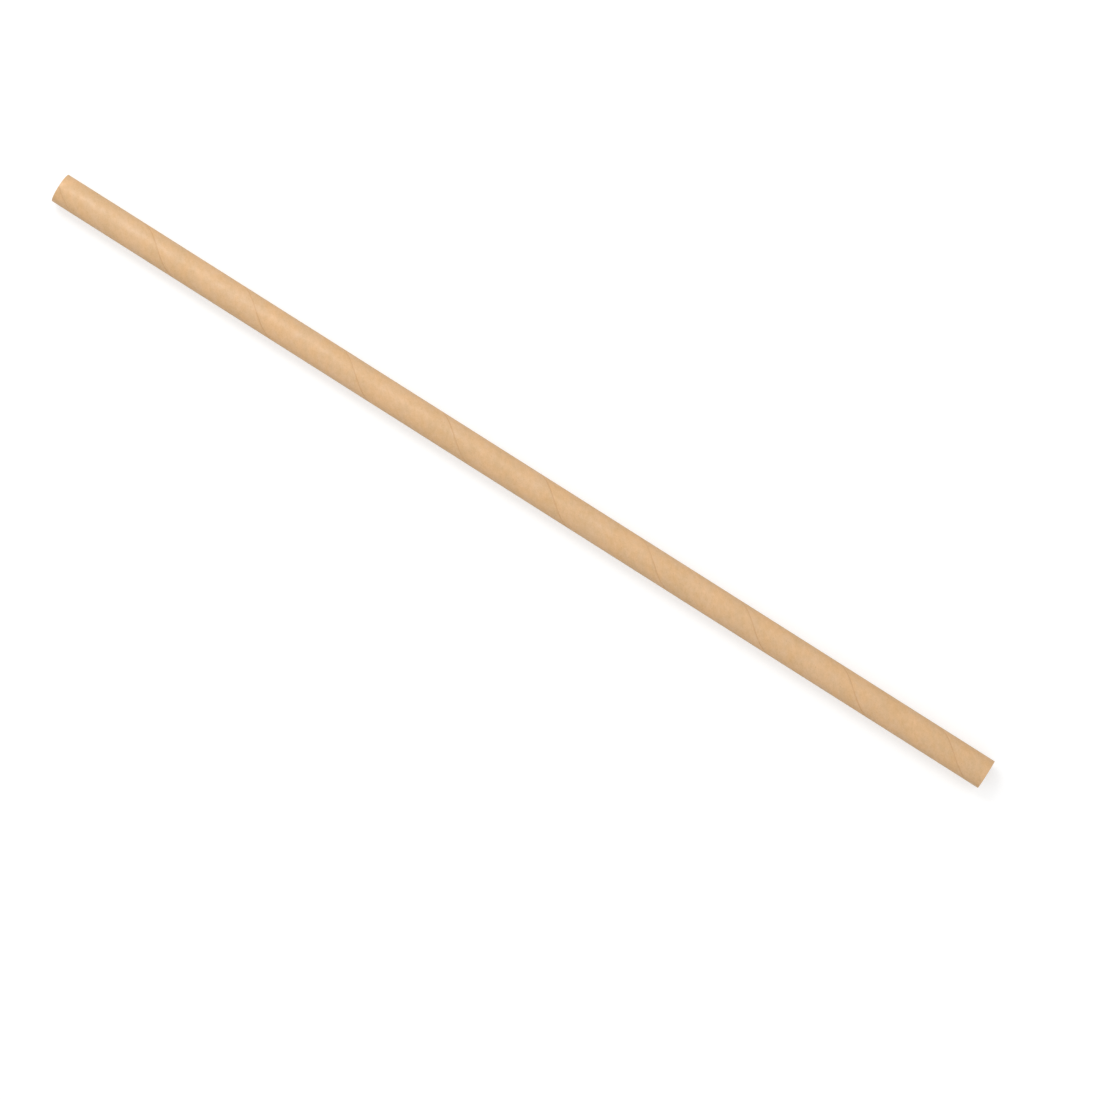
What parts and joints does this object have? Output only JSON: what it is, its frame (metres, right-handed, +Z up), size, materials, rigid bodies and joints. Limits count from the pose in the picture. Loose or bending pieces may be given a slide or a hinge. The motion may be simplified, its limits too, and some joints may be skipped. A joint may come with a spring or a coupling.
{
  "type": "paper drinking straw",
  "caption": "Straight spiral-wound paper drinking straw: a stiff thin-walled kraft tube with square-cut ends and a hairline helical seam along its length.",
  "frame": {"origin": "under the middle of the tube, on the surface that it lies on", "axes": "+X runs along the tube towards the end where the outer seam isn't at the top; +Z is up while the tube lies on its side"},
  "size_m": [0.21, 0.006, 0.006],
  "materials": {
    "kraft_paper": "smooth calendered kraft paper, nearly matt with a soft sheen"
  },
  "bodies": {
    "root": {"straw_tube": "kraft_paper"}
  },
  "joints": []
}
